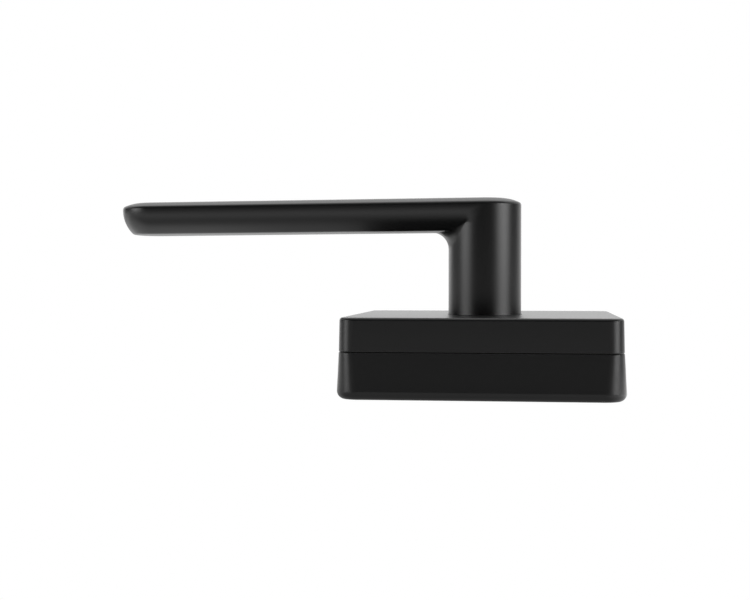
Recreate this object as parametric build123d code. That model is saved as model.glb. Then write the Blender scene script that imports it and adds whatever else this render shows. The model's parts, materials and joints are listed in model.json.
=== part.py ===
from build123d import *
import math
import os

# Door lever handle on a square rose, all sizes in millimetres.
# Frame: the origin is the middle of the rose's back face, on the spindle axis.
# +Z is the spindle axis, pointing away from the door. The lever's blade points to -X.

# ---- driving dimensions -------------------------------------------------------------
# rose, outside
ROSE_HALF = 40.02          # half side of the square rose at the shadow gap
ROSE_CORNER_R = 4.4        # plan radius of the rose's corners
BASE_CORNER_R = 6.6          # the rear housing's corners open out towards the door
ROSE_HEIGHT = 23.2         # back face to front face
BASE_TOP_Z = 13.40         # the rear housing ends here
COVER_BOTTOM_Z = 13.52     # the cover begins here: a 0.12 mm shadow gap between them
BASE_FLARE_DEG = 3.56      # the rear housing widens towards the door
BASE_EDGE_R = 2.3          # rounded edge where the rear housing meets the door
COVER_DRAFT_DEG = 1.2
COVER_EDGE_R = 0.9
SEAM_EDGE_R = 0.25
# rose, inside
FLOOR_T = 3.5
INNER_HALF = 37.5
INNER_CORNER_R = 2.0
COVER_TOP_T = 3.0
SHELL_POST_XY = 31.0       # the cover's screw bosses
SHELL_POST_R = 4.2
SHELL_JOINT_Z = 8.0        # where the cover's bosses stand on the base's posts
PLATE_POST_XY = 22.0
PLATE_POST_R = 3.6
# lever
NECK_R = 11.15
NECK_SHOULDER_Z = 15.7
JOURNAL_R = 8.0
JOURNAL_END_Z = 2.2
FLATS_HALF = 6.8           # the journal's double-D flats, which drive the spring cam
FLATS_TOP_Z = 11.5
LEVER_REACH = 114.5        # spindle axis to the tip of the blade
TOP_Z_ROOT, TOP_Z_TIP = 58.87, 58.05
UNDER_Z_ROOT, UNDER_Z_TIP = 48.42, 47.7
CORNER_BLEND_R = 4.9       # inside corner between the blade and the neck
SOCKET_SIDE = 8.1          # takes an 8 mm square spindle
SOCKET_DEPTH_Z = 38.0
GRUB_R = 3.0
GRUB_Z = 32.0
# mechanism
RUNNING = 0.05             # radial clearance of a running fit
PLATE_Z, PLATE_T = 11.9, 2.0
PLATE_HALF = 27.0
BUSH_FLANGE_T = 0.7
DRIVER_Z = 4.8
DRIVER_HUB_R = 10.0
DRIVER_FLANGE_R = 13.0
DRIVER_FLANGE_T = 1.8
WIRE_R = 0.75
COIL_R = 11.45
COIL_PITCH = 1.6
COIL_Z = 7.6
LEG_X = 3.0
LEG_END_Y = 22.5
POST_R, POST_Y = 2.2, 19.5
STOP_CIRCLE_R = 16.5
STOP_PIN_R, STOP_BUFFER_R = 1.5, 2.3
STOP_LUG_HALF_DEG = 7.0
TURN_LIMIT_DEG = 45.0
INSERT_X = 19.0            # through-bolts at 38 mm centres
INSERT_R, INSERT_THREAD_R = 3.5, 2.5
INSERT_Z0, INSERT_Z1 = 0.0, 11.0
INSERT_BOSS_R = 5.6
FLOOR_HOLE_R = 12.5

OUT = "parts"
os.makedirs(OUT, exist_ok=True)


def write(shape, name):
    export_step(shape, f"{OUT}/{name}.step")


def rod(r, z0, z1, x=0.0, y=0.0):
    return Pos(x, y, z0) * Cylinder(r, z1 - z0, align=(Align.CENTER, Align.CENTER, Align.MIN))


def ring(r_in, r_out, z0, z1, x=0.0, y=0.0):
    return rod(r_out, z0, z1, x, y) - rod(r_in, z0 - 1, z1 + 1, x, y)


def block(x0, x1, y0, y1, z0, z1):
    return Pos((x0 + x1) / 2, (y0 + y1) / 2, (z0 + z1) / 2) * Box(x1 - x0, y1 - y0, z1 - z0)


def rounded_prism(half, corner, z0, z1, taper=0.0):
    return extrude(Pos(0, 0, z0) * RectangleRounded(2 * half, 2 * half, corner), z1 - z0, taper=taper)


CORNERS = [(sx, sy) for sx in (-1, 1) for sy in (-1, 1)]

# ---- rose base: the rear housing, a flared tray open to the front -----------------------
base_half_back = ROSE_HALF + BASE_TOP_Z * math.tan(math.radians(BASE_FLARE_DEG))
base = loft(
    [
        Pos(0, 0, z) * RectangleRounded(2 * half, 2 * half, corner)
        for z, half, corner in ((0, base_half_back, BASE_CORNER_R), (BASE_TOP_Z, ROSE_HALF, ROSE_CORNER_R))
    ],
    ruled=True,
)
base = fillet(base.faces().sort_by(Axis.Z)[0].edges(), BASE_EDGE_R)
base = fillet(base.faces().sort_by(Axis.Z)[-1].edges(), SEAM_EDGE_R)
base -= rounded_prism(INNER_HALF, INNER_CORNER_R, FLOOR_T, BASE_TOP_Z + 1)
for sx, sy in CORNERS:
    x, y = sx * SHELL_POST_XY, sy * SHELL_POST_XY
    base += rod(SHELL_POST_R, FLOOR_T - 0.5, SHELL_JOINT_Z, x, y)
    base -= rod(1.7, -1, SHELL_JOINT_Z + 1, x, y)
    base -= rod(3.2, -1, 2.6, x, y)
    x, y = sx * PLATE_POST_XY, sy * PLATE_POST_XY
    base += rod(PLATE_POST_R, FLOOR_T - 0.5, PLATE_Z, x, y)
    base -= rod(1.52, PLATE_Z - 7.0, PLATE_Z + 1, x, y)
# locating lugs that stand up inside the cover, two to a side
for k in range(4):
    for u in (-17.0, 17.0):
        lug = block(INNER_HALF - 1.7, INNER_HALF - 0.15, u - 6, u + 6, FLOOR_T - 0.5, 16.0)
        lug += block(INNER_HALF - 1.7, INNER_HALF + 0.5, u - 6, u + 6, FLOOR_T - 0.5, BASE_TOP_Z - 0.6)
        base += Rot(0, 0, 90 * k) * lug
# stiffening ribs from the plate posts out to the walls
for sx, sy in CORNERS:
    x, y = sx * PLATE_POST_XY, sy * PLATE_POST_XY
    base += block(min(x, sx * 38), max(x, sx * 38), y - 0.8, y + 0.8, FLOOR_T - 0.5, 7.0)
    base += block(x - 0.8, x + 0.8, min(y, sy * 38), max(y, sy * 38), FLOOR_T - 0.5, 7.0)
    base -= rod(1.52, PLATE_Z - 7.0, PLATE_Z + 1, x, y)
base -= rod(FLOOR_HOLE_R, -1, FLOOR_T + 1)
for s in (-1, 1):
    base += rod(INSERT_BOSS_R, FLOOR_T - 0.5, INSERT_Z1, s * INSERT_X)
    base -= rod(INSERT_R, INSERT_Z0 - 1, INSERT_Z1 + 1, s * INSERT_X)
# blind sockets for the spring post and the stop pins, and the gasket's groove
base -= rod(POST_R, 1.5, FLOOR_T + 1, 0, POST_Y)
stop_deg = TURN_LIMIT_DEG + STOP_LUG_HALF_DEG + math.degrees(math.asin(STOP_BUFFER_R / STOP_CIRCLE_R)) + 0.4
STOPS = [
    (s * STOP_CIRCLE_R * math.sin(math.radians(stop_deg)), -STOP_CIRCLE_R * math.cos(math.radians(stop_deg)))
    for s in (-1, 1)
]
for x, y in STOPS:
    base -= rod(STOP_PIN_R, 1.5, FLOOR_T + 1, x, y)
base -= ring(24.2, 28.2, -1, 1.0)
write(base, "rose_base")
print("stops at", STOPS)

# ---- rose cover: the front shell ---------------------------------------------------------
cover = rounded_prism(ROSE_HALF - 0.02, ROSE_CORNER_R, COVER_BOTTOM_Z, ROSE_HEIGHT, COVER_DRAFT_DEG)
cover = fillet(cover.faces().sort_by(Axis.Z)[-1].edges(), COVER_EDGE_R)
cover = fillet(cover.faces().sort_by(Axis.Z)[0].edges(), SEAM_EDGE_R)
inner_top = ROSE_HEIGHT - COVER_TOP_T
cover -= rounded_prism(INNER_HALF, INNER_CORNER_R, COVER_BOTTOM_Z - 1, inner_top)
cover += rod(16.0, 16.2, inner_top + 0.5)
for sx, sy in CORNERS:
    x, y = sx * SHELL_POST_XY, sy * SHELL_POST_XY
    cover += rod(SHELL_POST_R, SHELL_JOINT_Z, inner_top + 0.5, x, y)
    cover -= rod(1.52, SHELL_JOINT_Z - 1, 17.5, x, y)
    # ribs tie each boss to the top
    cover += block(min(x, sx * 36), max(x, sx * 36), y - 0.7, y + 0.7, 17.6, inner_top + 0.5)
# spokes under the front plate, from the collar towards the corners
for k in range(4):
    cover += Rot(0, 0, 45 + 90 * k) * block(15.0, 38.0, -0.7, 0.7, 18.0, inner_top + 0.5)
cover -= rod(13.3, 15.0, 21.4)
cover -= rod(11.5, 20.0, ROSE_HEIGHT + 1)
write(cover, "rose_cover")

# ---- neck bearing and seal in the cover's collar --------------------------------------------
write(ring(NECK_R + RUNNING, 13.28, 16.2, 20.3) + ring(NECK_R + RUNNING, 15.2, 15.72, 16.2), "neck_bearing")
seal = ring(NECK_R + 0.08, 13.22, 20.34, 21.36)
write(fillet(seal.edges(), 0.25), "neck_seal")

# ---- lever: blade, neck and journal in one casting -------------------------------------------
# Half of the blade's cross-section lies in a (distance from the middle plane, height) plane. The top is
# softly crowned with a tight edge, and the underside runs out flat, turns a tight corner and rises to the
# side on a long arc.
UNDER_RISE = 8.0                      # height of the underside's curve, from the flat up to the side
BELLY_R, BELLY_TURN = 25.0, 8.0       # the flat's outer part
CORNER_R = 1.6                        # the lower corner
FLANK_R = 10.5                        # the arc up to the side
EDGE_R, EDGE_TURN = 1.1, 65.0         # the crown's tight edge
CROWN_R, CROWN_TURN = 13.3, 22.0      # the crown's shoulder
FLAT_R, FLAT_TURN = 50.0, 3.0         # the crown's middle


def crown_drop():
    turned, drop = 0.0, 0.0
    for r, turn in ((EDGE_R, EDGE_TURN), (CROWN_R, CROWN_TURN), (FLAT_R, FLAT_TURN)):
        drop += r * (math.sin(math.radians(turned + turn)) - math.sin(math.radians(turned)))
        turned += turn
    return drop


belly = math.radians(BELLY_TURN)
flank = math.acos(
    (UNDER_RISE - BELLY_R * (1 - math.cos(belly)) - CORNER_R * math.cos(belly)) / (FLANK_R - CORNER_R)
)  # slope where the corner meets the long arc
FLAT_U = (
    NECK_R - FLANK_R * (1 - math.sin(flank)) - CORNER_R * (math.sin(flank) - math.sin(belly)) - BELLY_R * math.sin(belly)
)


def half_section(z_under, z_top):
    """Closed half section in the (u, z) plane, u from 0 out."""
    under = JernArc((FLAT_U, z_under), (1, 0), BELLY_R, BELLY_TURN)
    corner = JernArc(under @ 1, under % 1, CORNER_R, math.degrees(flank) - BELLY_TURN)
    rise = ThreePointArc(
        corner @ 1,
        (
            NECK_R - FLANK_R * (1 - math.sin((flank + math.pi / 2) / 2)),
            z_under + UNDER_RISE - FLANK_R * math.cos((flank + math.pi / 2) / 2),
        ),
        (NECK_R, z_under + UNDER_RISE),
    )
    side1 = z_top - crown_drop()
    edge = JernArc((NECK_R, side1), (0, 1), EDGE_R, EDGE_TURN)
    shoulder = JernArc(edge @ 1, edge % 1, CROWN_R, CROWN_TURN)
    crown = JernArc(shoulder @ 1, shoulder % 1, FLAT_R, FLAT_TURN)
    top = crown @ 1
    return [
        Line((0, z_under), (FLAT_U, z_under)),
        under,
        corner,
        rise,
        Line((NECK_R, z_under + UNDER_RISE), (NECK_R, side1)),
        edge,
        shoulder,
        crown,
        Line(top, (0, top.Y)),
        Line((0, top.Y), (0, z_under)),
    ]


def at_x(x):
    return Plane(origin=(x, 0, 0), x_dir=(0, 1, 0), z_dir=(1, 0, 0))


def half_face(z_under, z_top):
    return make_face(half_section(z_under, z_top))


tip_x = -(LEVER_REACH - NECK_R)
root_face = at_x(0) * half_face(UNDER_Z_ROOT, TOP_Z_ROOT)
tip_face = at_x(tip_x) * half_face(UNDER_Z_TIP, TOP_Z_TIP)
run_half = loft([root_face, tip_face], ruled=True)
run = run_half + mirror(run_half, about=Plane.XZ)
tip_plane = Plane(origin=(tip_x, 0, 0), x_dir=(0, 1, 0), z_dir=(1, 0, 0))
tip_round = revolve(tip_face, Axis((tip_x, 0, 0), (0, 0, 1)), 180)
root_round = revolve(root_face, Axis((0, 0, 0), (0, 0, 1)), -180)
print("tip", tip_round.bounding_box(), "root", root_round.bounding_box())
blade = run + tip_round + root_round
neck = rod(NECK_R, NECK_SHOULDER_Z, UNDER_Z_ROOT + UNDER_RISE)
neck = chamfer(neck.edges().filter_by(GeomType.CIRCLE).sort_by(Axis.Z)[0], 0.4)

# the concave blend in the inside corner, widest on the middle plane and fading towards the sides
def under_height(y):
    u = abs(y)
    if u <= FLAT_U:
        return 0.0
    if u <= FLAT_U + BELLY_R * math.sin(belly):
        return BELLY_R * (1 - math.cos(math.asin((u - FLAT_U) / BELLY_R)))
    turn = math.asin(max(1 - (NECK_R - u) / FLANK_R, 0.0))
    if turn >= flank:
        return UNDER_RISE - FLANK_R * math.cos(turn)
    turn = math.asin(math.sin(belly) + (u - FLAT_U - BELLY_R * math.sin(belly)) / CORNER_R)
    return BELLY_R * (1 - math.cos(belly)) + CORNER_R * (math.cos(belly) - math.cos(turn))


sections = []
for y in (-9.2, -8.2, -6.8, -4.0, 0.0, 4.0, 6.8, 8.2, 9.2):
    L = CORNER_BLEND_R * max(1 - (y / 9.6) ** 4, 0.0) ** 1.2 + 0.2
    cx, cz = -math.sqrt(NECK_R**2 - y * y), UNDER_Z_ROOT + under_height(y)
    inside = 1.2
    with_plane = Plane(origin=(0, y, 0), x_dir=(1, 0, 0), z_dir=(0, -1, 0))
    p0 = (cx + inside, cz + inside)
    p1 = (cx - L, cz + inside)
    p2 = (cx - L, cz)
    p3 = (cx, cz - L)
    p4 = (cx + inside, cz - L)
    m = (cx - L * (1 - math.sin(math.pi / 4)), cz - L * (1 - math.sin(math.pi / 4)))
    face = make_face([Line(p0, p1), Line(p1, p2), ThreePointArc(p2, m, p3), Line(p3, p4), Line(p4, p0)])
    sections.append(with_plane * face)
blend = loft(sections)
lever = blade + neck
try:
    with_blend = lever + blend
    if with_blend.is_valid and len(with_blend.solids()) == 1 and with_blend.volume > lever.volume + 20:
        lever = with_blend
        print("blend joined", blend.volume)
    else:
        print("blend left off", with_blend.is_valid, len(with_blend.solids()), with_blend.volume, lever.volume)
except Exception as e:
    print("blend failed", e)
journal = rod(JOURNAL_R, JOURNAL_END_Z, NECK_SHOULDER_Z + 1)
journal = chamfer(journal.edges().filter_by(GeomType.CIRCLE).sort_by(Axis.Z)[0], 0.5)
for s in (-1, 1):
    journal -= block(-12, 12, min(s * FLATS_HALF, s * 12), max(s * FLATS_HALF, s * 12), 0, FLATS_TOP_Z)
journal -= ring(7.2, 12, 3.65, 4.75)
lever += journal
lever -= block(-SOCKET_SIDE / 2, SOCKET_SIDE / 2, -SOCKET_SIDE / 2, SOCKET_SIDE / 2, 0, SOCKET_DEPTH_Z)
grub_hole = Pos(0, 2.0, GRUB_Z) * Rot(-90, 0, 0) * Cylinder(GRUB_R, 14, align=(Align.CENTER, Align.CENTER, Align.MIN))
lever -= grub_hole
print("lever", lever.is_valid, len(lever.solids()), lever.volume, lever.bounding_box())
write(lever, "lever")

# ---- grub screw that locks the lever on the spindle, M6 with a 3 mm hexagon socket -------------
grub = Cylinder(GRUB_R - 0.02, 5.6, align=(Align.CENTER, Align.CENTER, Align.MIN))
grub = chamfer(grub.edges(), 0.35)
grub -= Pos(0, 0, 3.1) * extrude(RegularPolygon(1.5 / math.cos(math.pi / 6), 6), 4)
write(Pos(0, 4.6, GRUB_Z) * Rot(-90, 0, 0) * grub, "grub_screw")

# ---- spring driver: a cam keyed to the journal, with a dog for the spring and a lug for the stops --
driver = rod(DRIVER_HUB_R, DRIVER_Z, FLATS_TOP_Z - 0.05) + rod(DRIVER_FLANGE_R, DRIVER_Z, DRIVER_Z + DRIVER_FLANGE_T)
# dog between the spring's legs
dog = block(-2.1, 2.1, 11.0, 15.4, DRIVER_Z, DRIVER_Z + DRIVER_FLANGE_T) + block(-2.1, 2.1, 12.95, 15.4, DRIVER_Z, 11.4)
driver += dog
# stop lug, a sector pointing to -Y
lug = ring(9.5, 18.2, DRIVER_Z, DRIVER_Z + 4.2)
wedge_pts = [
    (0, 0),
    (-40 * math.sin(math.radians(STOP_LUG_HALF_DEG)), -40 * math.cos(math.radians(STOP_LUG_HALF_DEG))),
    (40 * math.sin(math.radians(STOP_LUG_HALF_DEG)), -40 * math.cos(math.radians(STOP_LUG_HALF_DEG))),
]
wedge = extrude(Pos(0, 0, DRIVER_Z - 1) * make_face(Polyline(*wedge_pts, close=True)), 8)
lug = lug & wedge
lug -= rod(12.9, DRIVER_Z + DRIVER_FLANGE_T, DRIVER_Z + 10)
driver += lug
bore = rod(JOURNAL_R + 0.03, 0, 20) & block(-12, 12, -FLATS_HALF - 0.03, FLATS_HALF + 0.03, -1, 21)
driver -= bore
write(driver, "spring_driver")

# ---- retaining ring (external circlip) in the journal's groove ---------------------------------------
clip = ring(7.25, 9.7, 3.7, 4.7)
clip += rod(2.0, 3.7, 4.7, -3.4, 9.6) + rod(2.0, 3.7, 4.7, 3.4, 9.6)
clip -= block(-2.2, 2.2, 4, 13, 3, 5.5)
clip -= rod(7.25, 3, 5.5)
clip -= rod(0.9, 3, 5.5, -3.9, 10.0)
clip -= rod(0.9, 3, 5.5, 3.9, 10.0)
write(clip, "retaining_ring")

# ---- bearing plate, rear bush and the axial washers ---------------------------------------------------
plate = rounded_prism(PLATE_HALF, 6.0, PLATE_Z, PLATE_Z + PLATE_T)
plate -= rod(9.55, PLATE_Z - 1, PLATE_Z + 5)
for sx, sy in CORNERS:
    plate -= rod(1.7, PLATE_Z - 1, PLATE_Z + 5, sx * PLATE_POST_XY, sy * PLATE_POST_XY)
for x, y in STOPS:
    plate -= rod(STOP_PIN_R + 0.02, PLATE_Z - 1, PLATE_Z + 5, x, y)
plate -= rod(POST_R + 0.02, PLATE_Z - 1, PLATE_Z + 5, 0, POST_Y)
for s in (-1, 1):
    plate -= rod(3.0, PLATE_Z - 1, PLATE_Z + 5, s * INSERT_X)
write(plate, "bearing_plate")

plate_top = PLATE_Z + PLATE_T
write(
    ring(JOURNAL_R + RUNNING, 9.53, PLATE_Z, plate_top) + ring(JOURNAL_R + RUNNING, 11.4, plate_top, plate_top + BUSH_FLANGE_T),
    "rear_bush",
)
washer_z = plate_top + BUSH_FLANGE_T
write(ring(JOURNAL_R + 0.1, 11.0, washer_z, washer_z + 0.5), "thrust_washer")
# conical disc spring, which takes up the lever's end play
dz = washer_z + 0.54
cone = make_face(
    Polyline((8.15, dz + 0.22), (10.9, dz), (10.9, dz + 0.26), (8.15, dz + 0.44), close=True)
)
write(revolve(Plane.XZ * cone, Axis.Z, 360), "disc_spring")

# ---- return spring: a double-acting torsion spring, both legs forward of the post ---------------------
a0 = math.atan2(math.sqrt(COIL_R**2 - LEG_X**2), LEG_X)
turns = 2 + (math.pi - 2 * a0) / (2 * math.pi)
coil_h = turns * COIL_PITCH
leg_y0 = math.sqrt(COIL_R**2 - LEG_X**2)
helix = Pos(0, 0, COIL_Z) * Rot(0, 0, math.degrees(a0)) * Helix(COIL_PITCH, coil_h, COIL_R)
p0, t0 = helix @ 0, helix % 0
p1 = helix @ 1
print("helix", p0, p1, turns)
coil = sweep(Plane(origin=p0, z_dir=t0) * Circle(WIRE_R), path=helix)
leg_a = Pos(LEG_X, leg_y0 - 0.2, COIL_Z) * Rot(-90, 0, 0) * Cylinder(WIRE_R, LEG_END_Y - leg_y0 + 0.2, align=(Align.CENTER, Align.CENTER, Align.MIN))
leg_b = Pos(-LEG_X, leg_y0 - 0.2, COIL_Z + coil_h) * Rot(-90, 0, 0) * Cylinder(WIRE_R, LEG_END_Y - leg_y0 + 0.2, align=(Align.CENTER, Align.CENTER, Align.MIN))
knee_a = Pos(LEG_X, leg_y0, COIL_Z) * Sphere(WIRE_R)
knee_b = Pos(-LEG_X, leg_y0, COIL_Z + coil_h) * Sphere(WIRE_R)
spring = coil + knee_a + knee_b + leg_a + leg_b
print("spring", spring.is_valid, len(spring.solids()), spring.volume)
write(spring, "return_spring")

# ---- pins, buffers, inserts, gasket and screws -----------------------------------------------------------
write(rod(POST_R, 1.5, plate_top, 0, POST_Y), "spring_post")
write(Compound(children=[rod(STOP_PIN_R, 1.5, plate_top, x, y) for x, y in STOPS]), "stop_pins")
write(Compound(children=[ring(STOP_PIN_R + 0.02, STOP_BUFFER_R, DRIVER_Z + 0.1, DRIVER_Z + 4.6, x, y) for x, y in STOPS]), "stop_buffers")


def insert(x):
    body = rod(INSERT_R - 0.02, INSERT_Z0, INSERT_Z1, x)
    body -= ring(INSERT_R - 0.35, INSERT_R + 1, 5.2, 6.2, x)
    return body - rod(INSERT_THREAD_R, INSERT_Z0 - 1, INSERT_Z1 + 1, x)


write(Compound(children=[insert(s * INSERT_X) for s in (-1, 1)]), "threaded_inserts")
write(ring(24.25, 28.15, 0.0, 1.0), "back_gasket")


def screw(head_r, head_h, shank_r, shank_len, drive_af):
    """Head on the z=0 plane and below it, shank towards +Z."""
    head = rod(head_r, -head_h, 0)
    head = fillet(head.edges().sort_by(Axis.Z)[0], 0.5)
    s = head + rod(shank_r, -0.1, shank_len)
    s = chamfer(s.edges().sort_by(Axis.Z)[-1], 0.3)
    return s - Pos(0, 0, -head_h - 0.5) * extrude(RegularPolygon(drive_af / 2 / math.cos(math.pi / 6), 6), 1.6)


cover_screw = screw(2.9, 2.0, 1.5, 14.0, 2.0)
write(
    Compound(children=[Pos(sx * SHELL_POST_XY, sy * SHELL_POST_XY, 2.6) * cover_screw for sx, sy in CORNERS]),
    "cover_screws",
)
plate_screw = Rot(180, 0, 0) * screw(2.75, 1.8, 1.5, 8.0, 2.0)
write(
    Compound(children=[Pos(sx * PLATE_POST_XY, sy * PLATE_POST_XY, plate_top) * plate_screw for sx, sy in CORNERS]),
    "plate_screws",
)
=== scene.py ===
import json
import math

import bmesh
import bpy
import numpy as np
from mathutils import Matrix, Vector


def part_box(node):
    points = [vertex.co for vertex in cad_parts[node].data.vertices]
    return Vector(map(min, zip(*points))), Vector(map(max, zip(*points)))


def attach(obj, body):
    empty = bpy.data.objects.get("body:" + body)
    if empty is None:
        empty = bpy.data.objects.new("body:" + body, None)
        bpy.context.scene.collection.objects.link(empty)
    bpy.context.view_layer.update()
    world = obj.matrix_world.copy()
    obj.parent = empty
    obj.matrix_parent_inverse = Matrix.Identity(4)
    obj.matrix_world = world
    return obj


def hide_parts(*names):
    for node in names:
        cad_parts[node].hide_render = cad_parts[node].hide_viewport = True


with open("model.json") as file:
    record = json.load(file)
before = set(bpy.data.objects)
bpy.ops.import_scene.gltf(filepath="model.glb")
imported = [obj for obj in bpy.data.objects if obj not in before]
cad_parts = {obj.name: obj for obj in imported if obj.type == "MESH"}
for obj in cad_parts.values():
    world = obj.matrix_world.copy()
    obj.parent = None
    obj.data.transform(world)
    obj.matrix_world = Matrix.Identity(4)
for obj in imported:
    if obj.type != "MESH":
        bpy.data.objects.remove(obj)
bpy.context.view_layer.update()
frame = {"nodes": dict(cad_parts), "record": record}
MM = 0.001
scene = bpy.context.scene


# ------------------------------------------------------------------ small helpers
def new_object(name, mesh):
    obj = bpy.data.objects.new(name, mesh)
    scene.collection.objects.link(obj)
    return obj


def shade(mesh, degrees=32.0):
    """Smooth shading, with the edges that turn by more than this kept sharp."""
    mesh.polygons.foreach_set("use_smooth", [True] * len(mesh.polygons))
    mesh.set_sharp_from_angle(angle=math.radians(degrees))
    mesh.update()


class Skin:
    """Collects grids of points as quads and joins them into one closed mesh."""

    def __init__(self):
        self.verts, self.faces = [], []

    def grid(self, rows, flip=False):
        """rows[i][k] is a point; neighbouring rows and columns are joined by quads."""
        start = len(self.verts)
        n = len(rows[0])
        for row in rows:
            self.verts.extend(row)
        for i in range(len(rows) - 1):
            for k in range(n - 1):
                a = start + i * n + k
                quad = (a, a + 1, a + n + 1, a + n)
                self.faces.append(quad[::-1] if flip else quad)

    def mesh(self, name, scale=MM, merge=2e-6):
        me = bpy.data.meshes.new(name)
        me.from_pydata([(x * scale, y * scale, z * scale) for x, y, z in self.verts], [], self.faces)
        bm = bmesh.new()
        bm.from_mesh(me)
        bmesh.ops.remove_doubles(bm, verts=bm.verts, dist=merge)
        bmesh.ops.dissolve_degenerate(bm, edges=bm.edges, dist=merge)
        bmesh.ops.recalc_face_normals(bm, faces=bm.faces)
        bm.to_mesh(me)
        bm.free()
        return me


# ------------------------------------------------------------------ lever
NECK_R = 11.15
UNDER_RISE, BELLY_R, CORNER_R, FLANK_R = 8.0, 25.0, 1.6, 10.5
BELLY = math.radians(8.0)
FLANK = math.acos((UNDER_RISE - BELLY_R * (1 - math.cos(BELLY)) - CORNER_R * math.cos(BELLY)) / (FLANK_R - CORNER_R))
TIP_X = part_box("lever")[0][0] / MM + NECK_R
TOP_ROOT, TOP_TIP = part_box("lever")[1][2] / MM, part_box("lever")[1][2] / MM - 0.82
UNDER_ROOT, UNDER_TIP = 48.42, 47.7
BLEND_R = 4.9


def top_z(x):
    return TOP_ROOT + (TOP_TIP - TOP_ROOT) * min(max(x / TIP_X, 0.0), 1.0)


def under_z(x):
    return UNDER_ROOT + (UNDER_TIP - UNDER_ROOT) * min(max(x / TIP_X, 0.0), 1.0)


def blade_profile():
    """Half cross-section from the middle of the underside round to the middle of the top: (u, height, from_top)."""
    # flat, then three tangent arcs: the flat's outer part, the lower corner and the long arc up to the side
    arcs = ((BELLY_R, 0.0, BELLY, 8), (CORNER_R, BELLY, FLANK, 12), (FLANK_R, FLANK, math.pi / 2, 22))
    flat = NECK_R - sum(r * (math.sin(b) - math.sin(a)) for r, a, b, _ in arcs)
    low = [(flat * i / 5, 0.0, False) for i in range(5)]
    pts, u0, v0 = [(flat, 0.0)], flat, 0.0
    for r, a, b, n in arcs:
        for i in range(1, n + 1):
            t = a + (b - a) * i / n
            pts.append((u0 + r * (math.sin(t) - math.sin(a)), v0 + r * (math.cos(a) - math.cos(t))))
        u0, v0 = pts[-1]
    # one line passes exactly through the socket's corner direction
    u45 = NECK_R * math.sin(math.pi / 4)
    k = min(range(len(pts)), key=lambda i: abs(pts[i][0] - u45))
    t45 = math.asin(math.sin(BELLY) + (u45 - flat - BELLY_R * math.sin(BELLY)) / CORNER_R)
    pts[k] = (u45, BELLY_R * (1 - math.cos(BELLY)) + CORNER_R * (math.cos(BELLY) - math.cos(t45)))
    low += [(u, v, False) for u, v in pts]
    joint = len(low) - 1
    # crown: three tangent arcs, from the side up
    arcs = ((1.1, 65.0, 14), (13.3, 22.0, 10), (50.0, 3.0, 3))
    u, t, turned, crown = NECK_R, 0.0, 0.0, []
    crown.append((u, t))
    for r, turn, n in arcs:
        for i in range(n):
            a0 = math.radians(turned + turn * i / n)
            a1 = math.radians(turned + turn * (i + 1) / n)
            u -= r * (math.cos(a0) - math.cos(a1))
            t -= r * (math.sin(a1) - math.sin(a0))
            crown.append((u, t))
        turned += turn
    drop = -t
    high = [(cu, ct + drop, True) for cu, ct in crown]
    last_u = high[-1][0]
    high += [(last_u * (1 - i / 5), 0.0, True) for i in range(1, 6)]
    return low, high, joint


def blade_z(x, h, from_top):
    return top_z(x) - h if from_top else under_z(x) + h


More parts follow.
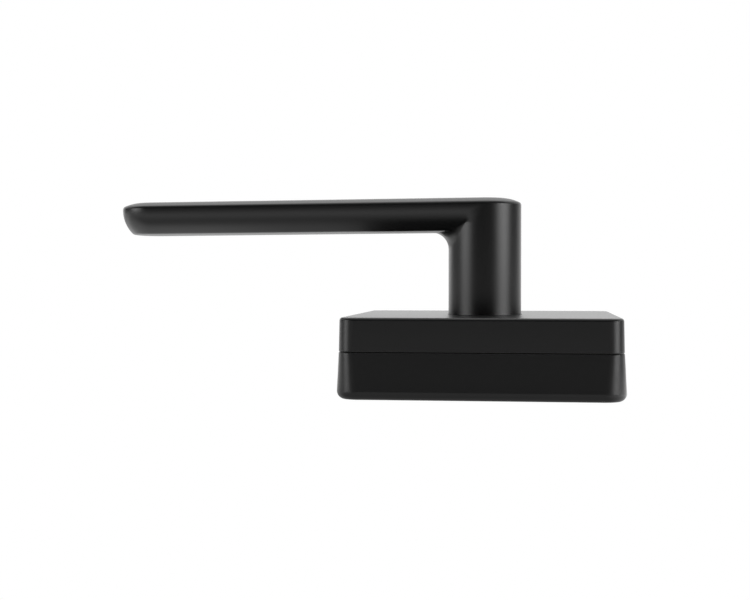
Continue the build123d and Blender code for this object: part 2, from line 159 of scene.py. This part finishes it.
def build_lever():
    low, high, joint = blade_profile()
    skin = Skin()
    n_run, n_arc, n_neck, n_end = 60, 14, 26, 48
    fracs = [0.5 - 0.5 * math.cos(math.pi * i / n_run) * (1.0) for i in range(n_run + 1)]
    fracs = [0.35 * f + 0.65 * i / n_run for i, f in enumerate(fracs)]
    neck_bottom = 16.1
    for side in (1, -1):
        # the side and the crown, along the blade
        for_high = [[(TIP_X * (1 - f), side * u, blade_z(TIP_X * (1 - f), h, ft)) for f in fracs] for u, h, ft in [low[-1]] + high]
        skin.grid(for_high, flip=side < 0)
        # the underside, running on round the blend and down the neck's rear half
        rows = []
        for u, h, ft in low:
            cx = -math.sqrt(max(NECK_R**2 - u * u, 0.0))
            fade = min(max((u - 9.7) / 1.1, 0.0), 1.0)
            reach = BLEND_R * max(1 - (u / 9.6) ** 4, 0.0) ** 1.2 + 0.2 + 2.2 * fade * fade * (3 - 2 * fade)
            reach *= min(1.0, math.sqrt(max(1 - (u / NECK_R) ** 2, 0.0) / 0.03))
            x_end = cx - reach
            row = []
            for f in fracs:
                x = TIP_X + (x_end - TIP_X) * f
                row.append((x, side * u, blade_z(x, h, ft)))
            z_here = blade_z(x_end, h, ft)
            for i in range(1, n_arc + 1):
                a = math.pi / 2 * i / n_arc
                row.append((x_end + reach * math.sin(a), side * u, z_here - reach * (1 - math.cos(a))))
            z_start = z_here - reach
            for i in range(1, n_neck + 1):
                row.append((cx, side * u, z_start + (neck_bottom - z_start) * i / n_neck))
            rows.append(row)
        skin.grid(rows, flip=side > 0)
    # round tip: every line of the section turned half round
    rows = []
    for u, h, ft in low + high:
        rows.append([
            (TIP_X - u * math.sin(math.pi * i / n_end), u * math.cos(math.pi * i / n_end), blade_z(TIP_X, h, ft))
            for i in range(n_end + 1)
        ])
    skin.grid(rows)
    # round end over the neck
    rows = []
    for u, h, ft in [low[-1]] + high:
        rows.append([
            (u * math.sin(math.pi * i / n_end), u * math.cos(math.pi * i / n_end), blade_z(0, h, ft))
            for i in range(n_end + 1)
        ])
    skin.grid(rows, flip=True)
    # the neck's front half
    z_start = blade_z(0, low[-1][1], False)
    rows = []
    for k in range(n_neck + 1):
        z = z_start + (neck_bottom - z_start) * k / n_neck
        rows.append([
            (NECK_R * math.sin(math.pi * i / n_end), NECK_R * math.cos(math.pi * i / n_end), z) for i in range(n_end + 1)
        ])
    skin.grid(rows)
    # below the neck: shoulder, journal, flats, groove and the square socket, on the same lines
    us = [u for u, _, _ in low]
    angles = [math.pi * i / n_end for i in range(n_end + 1)]  # measured from +Y through +X to -Y
    rear = [-math.acos(min(u / NECK_R, 1.0)) for u in us]  # from -90 degrees up to 0, by way of -X
    # -Y back to -X is the mirror of rear
    mirror = [math.pi - a for a in rear][::-1]
    ring_angles = angles + [a for a in sorted(set(mirror)) if a > math.pi + 1e-9]
    ring_angles += [2 * math.pi + a for a in rear if 2 * math.pi + a > ring_angles[-1] + 1e-9]

    def ring(r, z, clamp=None, square=None):
        out = []
        for a in ring_angles:
            sx, cy = math.sin(a), math.cos(a)
            if square is not None:
                m = square / max(abs(sx), abs(cy))
                out.append((sx * m, cy * m, z))
            else:
                y = r * cy
                if clamp is not None:
                    y = min(max(y, -clamp), clamp)
                out.append((r * sx, y, z))
        return out

    flats = 6.8
    rings = [
        ring(11.15, 16.1),
        ring(10.75, 15.7),
        ring(8.0, 15.7),
        ring(8.0, 11.5),
        ring(8.0, 11.5, flats),
        ring(8.0, 4.75, flats),
        ring(7.2, 4.75, flats),
        ring(7.2, 3.65, flats),
        ring(8.0, 3.65, flats),
        ring(8.0, 2.7, flats),
        ring(7.5, 2.2, flats - 0.5),
        ring(0, 2.2, square=4.35),
        ring(0, 2.5, square=4.05),
        ring(0, 38.0, square=4.05),
        ring(0, 38.0, square=0.001),
    ]
    skin.grid(rings)
    me = skin.mesh("lever_skin")
    return new_object("lever_skin", me)


lever = build_lever()


def cut(obj, cutter):
    mod = obj.modifiers.new("cut", "BOOLEAN")
    mod.operation, mod.solver, mod.object = "DIFFERENCE", "EXACT", cutter
    dg = bpy.context.evaluated_depsgraph_get()
    me = bpy.data.meshes.new_from_object(obj.evaluated_get(dg))
    obj.modifiers.clear()
    old = obj.data
    obj.data = me
    bpy.data.meshes.remove(old)
    bpy.data.objects.remove(cutter)


def cylinder(name, r, y0, y1, z, n=64):
    """Cutter along Y."""
    s = Skin()
    rows = []
    for y in (y0, y1):
        rows.append([(r * math.cos(2 * math.pi * i / n), y, z + r * math.sin(2 * math.pi * i / n)) for i in range(n + 1)])
    rows.insert(0, [(0, y0, z)] * (n + 1))
    rows.append([(0, y1, z)] * (n + 1))
    s.grid(rows)
    return new_object(name, s.mesh(name))


cut(lever, cylinder("grub_cutter", 3.0, 3.0, 14.0, 32.0))
shade(lever.data, 30)
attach(lever, "lever")
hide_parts("lever")


# ------------------------------------------------------------------ materials
def material(name):
    mat = bpy.data.materials.new(name)
    mat.use_nodes = True
    nt = mat.node_tree
    for n in list(nt.nodes):
        nt.nodes.remove(n)
    out = nt.nodes.new("ShaderNodeOutputMaterial")
    bsdf = nt.nodes.new("ShaderNodeBsdfPrincipled")
    nt.links.new(bsdf.outputs["BSDF"], out.inputs["Surface"])
    return mat, nt, bsdf


def add(nt, kind, **values):
    node = nt.nodes.new(kind)
    for key, value in values.items():
        if hasattr(node, key):
            setattr(node, key, value)
        else:
            node.inputs[key.replace("_", " ")].default_value = value
    return node


def noise(nt, coords, scale, detail=3.0, rough=0.5):
    n = nt.nodes.new("ShaderNodeTexNoise")
    n.inputs["Scale"].default_value = scale
    n.inputs["Detail"].default_value = detail
    n.inputs["Roughness"].default_value = rough
    nt.links.new(coords, n.inputs["Vector"])
    return n


def ramp(nt, fac, stops):
    r = nt.nodes.new("ShaderNodeValToRGB")
    el = r.color_ramp.elements
    el[0].position, el[0].color = stops[0][0], (*stops[0][1], 1) if len(stops[0][1]) == 3 else stops[0][1]
    el[1].position, el[1].color = stops[-1][0], (*stops[-1][1], 1)
    for pos, col in stops[1:-1]:
        e = el.new(pos)
        e.color = (*col, 1)
    nt.links.new(fac, r.inputs["Fac"])
    return r


def map_range(nt, value, lo, hi, to_lo, to_hi):
    m = nt.nodes.new("ShaderNodeMapRange")
    m.inputs["From Min"].default_value, m.inputs["From Max"].default_value = lo, hi
    m.inputs["To Min"].default_value, m.inputs["To Max"].default_value = to_lo, to_hi
    nt.links.new(value, m.inputs["Value"])
    return m


def object_coords(nt):
    return nt.nodes.new("ShaderNodeTexCoord").outputs["Object"]


def grey(v):
    return (v, v, v)


def black_finish(name, rough=0.32, base=0.0035, bump=0.05):
    """Satin black lacquer on a die casting: a fine even grain, with faint unevenness."""
    mat, nt, bsdf = material(name)
    co = object_coords(nt)
    fine = noise(nt, co, 2600.0, 2.0, 0.6)
    broad = noise(nt, co, 90.0, 3.0, 0.5)
    col = ramp(nt, broad.outputs["Fac"], [(0.3, (base * 0.92, base * 0.92, base * 0.95)), (0.7, (base * 1.1, base * 1.1, base * 1.13))])
    nt.links.new(col.outputs["Color"], bsdf.inputs["Base Color"])
    r = map_range(nt, fine.outputs["Fac"], 0.3, 0.7, rough - 0.03, rough + 0.03)
    nt.links.new(r.outputs["Result"], bsdf.inputs["Roughness"])
    b = nt.nodes.new("ShaderNodeBump")
    b.inputs["Strength"].default_value = bump
    b.inputs["Distance"].default_value = 0.00005
    nt.links.new(fine.outputs["Fac"], b.inputs["Height"])
    nt.links.new(b.outputs["Normal"], bsdf.inputs["Normal"])
    bsdf.inputs["IOR"].default_value = 1.5
    return mat


def metal(name, colour, rough, scale=2500.0, bump=0.05, metallic=1.0):
    mat, nt, bsdf = material(name)
    co = object_coords(nt)
    fine = noise(nt, co, scale, 3.0, 0.6)
    broad = noise(nt, co, 200.0, 3.0, 0.5)
    c = colour
    col = ramp(nt, broad.outputs["Fac"], [(0.3, tuple(v * 0.88 for v in c)), (0.7, tuple(min(v * 1.1, 1) for v in c))])
    nt.links.new(col.outputs["Color"], bsdf.inputs["Base Color"])
    r = map_range(nt, fine.outputs["Fac"], 0.3, 0.7, rough - 0.06, rough + 0.06)
    nt.links.new(r.outputs["Result"], bsdf.inputs["Roughness"])
    b = nt.nodes.new("ShaderNodeBump")
    b.inputs["Strength"].default_value = bump
    b.inputs["Distance"].default_value = 0.00005
    nt.links.new(fine.outputs["Fac"], b.inputs["Height"])
    nt.links.new(b.outputs["Normal"], bsdf.inputs["Normal"])
    bsdf.inputs["Metallic"].default_value = metallic
    return mat


MATS = {
    "black_finish": black_finish("satin_black"),
    "black_steel": metal("black_oxide", (0.05, 0.05, 0.055), 0.38),
    "sintered_steel": metal("sintered_steel", (0.32, 0.32, 0.33), 0.55, 3500.0, 0.2),
    "spring_steel": metal("spring_steel", (0.22, 0.21, 0.20), 0.32),
    "zinc_plated": metal("zinc_plated", (0.62, 0.62, 0.58), 0.34),
    "brass_insert": metal("brass", (0.72, 0.53, 0.24), 0.3),
    "black_polymer": metal("black_polymer", (0.03, 0.03, 0.03), 0.5, 3000.0, 0.1, 0.0),
    "black_rubber": metal("black_rubber", (0.02, 0.02, 0.02), 0.75, 2500.0, 0.3, 0.0),
}


def dress(obj, mat):
    obj.data.materials.clear()
    obj.data.materials.append(mat)


dress(lever, MATS["black_finish"])
slots = {s["node"]: s["material_slot"] for s in frame["record"]["subparts"]}
for node, obj in frame["nodes"].items():
    dress(obj, MATS[slots[node]])
    shade(obj.data, 28)


# ------------------------------------------------------------------ stage, light and camera
def glow(name, strength, colour=(1, 1, 1)):
    mat = bpy.data.materials.new(name)
    mat.use_nodes = True
    nt = mat.node_tree
    for n in list(nt.nodes):
        nt.nodes.remove(n)
    out = nt.nodes.new("ShaderNodeOutputMaterial")
    em = nt.nodes.new("ShaderNodeEmission")
    em.inputs["Color"].default_value = (*colour, 1)
    em.inputs["Strength"].default_value = strength
    nt.links.new(em.outputs["Emission"], out.inputs["Surface"])
    return mat


def plane(name, corners, mat):
    me = bpy.data.meshes.new(name)
    me.from_pydata(corners, [], [(0, 1, 2, 3)])
    obj = new_object(name, me)
    me.materials.append(mat)
    return obj


# What the lens sees round the object: a plain white floor and a white surround. They neither light the
# object nor show in its gloss; the studio light below does that.
def lens_only(obj):
    obj.visible_diffuse = obj.visible_glossy = obj.visible_transmission = obj.visible_shadow = False
    obj.visible_camera = True


floor = plane("floor", [(-4, -4, -0.0002), (4, -4, -0.0002), (4, 4, -0.0002), (-4, 4, -0.0002)], glow("floor_white", 1.0))
lens_only(floor)
# from below the floor is clear, so that the object's back can be seen
nt = floor.data.materials[0].node_tree
clear = nt.nodes.new("ShaderNodeBsdfTransparent")
mix = nt.nodes.new("ShaderNodeMixShader")
nt.links.new(nt.nodes.new("ShaderNodeNewGeometry").outputs["Backfacing"], mix.inputs[0])
nt.links.new(nt.nodes["Emission"].outputs[0], mix.inputs[1])
nt.links.new(clear.outputs[0], mix.inputs[2])
nt.links.new(mix.outputs[0], next(n for n in nt.nodes if n.type == "OUTPUT_MATERIAL").inputs["Surface"])
dome_mesh = bpy.data.meshes.new("surround")
bm = bmesh.new()
bmesh.ops.create_icosphere(bm, subdivisions=4, radius=6.0)
bm.to_mesh(dome_mesh)
bm.free()
dome = new_object("surround", dome_mesh)
dome_mesh.materials.append(glow("surround_white", 1.0))
lens_only(dome)


def floor_light():
    """The bench as the object's gloss sees it: a glowing card, unseen by the lens, with a level for each strip in
    front, behind and at the two sides; the strips next to the object's foot glow less, a painted contact shade.
    """
    xs = [-x for x in SIDE_X[::-1]] + list(SIDE_X)
    sides = list(LEFT_GLOW_AND_SHADE[::-1]) + list(RIGHT_GLOW_AND_SHADE)
    verts, levels = [], []
    for i, x in enumerate(xs):
        for y, front in zip(BENCH_Y, BENCH_GLOW_AND_SHADE):
            verts.append((x, y, -0.0004))
            levels.append(sides[i] if abs(y) < 0.04 else front)
    n, m = len(xs), len(BENCH_Y)
    faces = [(i * m + k, (i + 1) * m + k, (i + 1) * m + k + 1, i * m + k + 1) for i in range(n - 1) for k in range(m - 1)]
    me = bpy.data.meshes.new("bench_glow_painted_shade")
    me.from_pydata(verts, [], faces)
    attr = me.color_attributes.new("level", "FLOAT_COLOR", "POINT")
    data = np.ones((len(verts), 4), np.float32)
    data[:, :3] = np.array(levels)[:, None]
    attr.data.foreach_set("color", data.ravel())
    mat = bpy.data.materials.new("bench_glow_painted_shade")
    mat.use_nodes = True
    nt = mat.node_tree
    for node in list(nt.nodes):
        nt.nodes.remove(node)
    out = nt.nodes.new("ShaderNodeOutputMaterial")
    em = nt.nodes.new("ShaderNodeEmission")
    at = nt.nodes.new("ShaderNodeAttribute")
    at.attribute_name = "level"
    nt.links.new(at.outputs["Color"], em.inputs["Color"])
    nt.links.new(em.outputs["Emission"], out.inputs["Surface"])
    me.materials.append(mat)
    obj = new_object("bench_glow_painted_shade", me)
    obj.visible_camera = False
    return obj


# Glow levels of the bench card; the low values at the strips just round the object's foot are painted contact shade
# from the object.
BENCH_Y = (-4.0, -1.2, -0.5, -0.36, -0.25, -0.19, -0.15, -0.12, -0.09, -0.065, -0.05, -0.036,
           0.036, 0.06, 0.1, 0.16, 0.25, 0.4, 1.0, 1.5, 4.0)
BENCH_GLOW_AND_SHADE = (0.0, 0.0, 0.56, 0.54, 0.7, 1.2, 1.15, 0.9, 0.5, 0.3, 0.6, 0.35,
               0.35, 1.61, 1.43, 1.0, 0.7, 0.75, 1.0, 1.62, 1.62)
SIDE_X = (0.036, 0.05, 0.07, 0.1, 0.15, 0.3, 1.0, 4.0)
LEFT_GLOW_AND_SHADE = (0.35, 0.84, 0.84, 1.41, 1.41, 0.77, 0.77, 0.77)
RIGHT_GLOW_AND_SHADE = (0.35, 2.07, 2.07, 1.84, 0.86, 0.0, 0.0, 0.0)
floor_light()


# The studio round it, by direction: a low bright strip on each side of the camera, a dark room behind the
# camera, and a paler backdrop behind the object and overhead.
world = bpy.data.worlds.new("studio")
scene.world = world
world.use_nodes = True
wt = world.node_tree
background = wt.nodes["Background"]
direction = wt.nodes.new("ShaderNodeTexCoord").outputs["Generated"]
xyz = wt.nodes.new("ShaderNodeSeparateXYZ")
wt.links.new(direction, xyz.inputs[0])


def w_math(op, a, b=None):
    n = wt.nodes.new("ShaderNodeMath")
    n.operation = op
    for i, v in enumerate((a, b)):
        if v is None:
            continue
        if isinstance(v, (int, float)):
            n.inputs[i].default_value = v
        else:
            wt.links.new(v, n.inputs[i])
    return n.outputs[0]


def w_step(value, lo, hi):
    m = wt.nodes.new("ShaderNodeMapRange")
    m.interpolation_type = "SMOOTHSTEP"
    m.inputs["From Min"].default_value, m.inputs["From Max"].default_value = lo, hi
    wt.links.new(value, m.inputs["Value"])
    return m.outputs["Result"]


bearing = w_math("ARCTAN2", xyz.outputs["X"], w_math("MULTIPLY", xyz.outputs["Y"], -1.0))
height = xyz.outputs["Z"]


def softbox(centre, half, soft, low, high, strength):
    off = w_math("ABSOLUTE", w_math("SUBTRACT", bearing, math.radians(centre)))
    off = w_math("MINIMUM", off, w_math("SUBTRACT", 2 * math.pi, off))
    across = w_step(off, math.radians(half + soft), math.radians(half - soft))
    up = w_math("MULTIPLY", w_step(height, math.sin(math.radians(low - 4)), math.sin(math.radians(low + 4))),
                w_step(height, math.sin(math.radians(high + 4)), math.sin(math.radians(high - 4))))
    return w_math("MULTIPLY", w_math("MULTIPLY", across, up), strength)


LEFT = dict(centre=-61.0, half=15.0, soft=11.0, low=-10.0, high=14.0, strength=5.1)
RIGHT = dict(centre=62.5, half=18.0, soft=14.0, low=-10.0, high=14.0, strength=7.2)
LOW_BACK = dict(centre=-168.0, half=43.0, soft=5.0, low=-10.0, high=14.0, strength=1.42)
LOW_BACK_RIGHT = dict(centre=137.0, half=12.0, soft=5.0, low=-10.0, high=14.0, strength=0.76)
BACK = dict(centre=180.0, half=90.0, soft=8.0, low=14.0, high=40.0, strength=1.0)
HIGH_BACK = dict(centre=180.0, half=90.0, soft=8.0, low=40.0, high=66.0, strength=1.7)
overhead = w_math("MULTIPLY", w_step(height, math.sin(math.radians(62)), math.sin(math.radians(70))), 1.31)
total = w_math("ADD", overhead, 0.002)
FRONT_HIGH = dict(centre=0.0, half=90.0, soft=8.0, low=18.0, high=62.0, strength=0.13)
for box in (FRONT_HIGH, LEFT, RIGHT, LOW_BACK, LOW_BACK_RIGHT, BACK, HIGH_BACK):
    total = w_math("ADD", total, softbox(**box))
background.inputs["Color"].default_value = (1, 1, 1, 1)
wt.links.new(total, background.inputs["Strength"])

cam = bpy.data.cameras.new("camera")
cam.sensor_width = 36.0
cam.lens = 1269.0 * 36.0 / 750.0
cam.clip_start, cam.clip_end = 0.01, 50
camera = bpy.data.objects.new("camera", cam)
scene.collection.objects.link(camera)
yaw, pitch = -0.1231, 0.0185
fwd = Vector((math.sin(yaw) * math.cos(pitch), math.cos(yaw) * math.cos(pitch), -math.sin(pitch)))
camera.location = (14.45 * MM, -392.26 * MM, 34.76 * MM)
camera.rotation_euler = fwd.to_track_quat("-Z", "Y").to_euler()
scene.camera = camera
scene.view_settings.view_transform = "Standard"
scene.view_settings.look = "None"
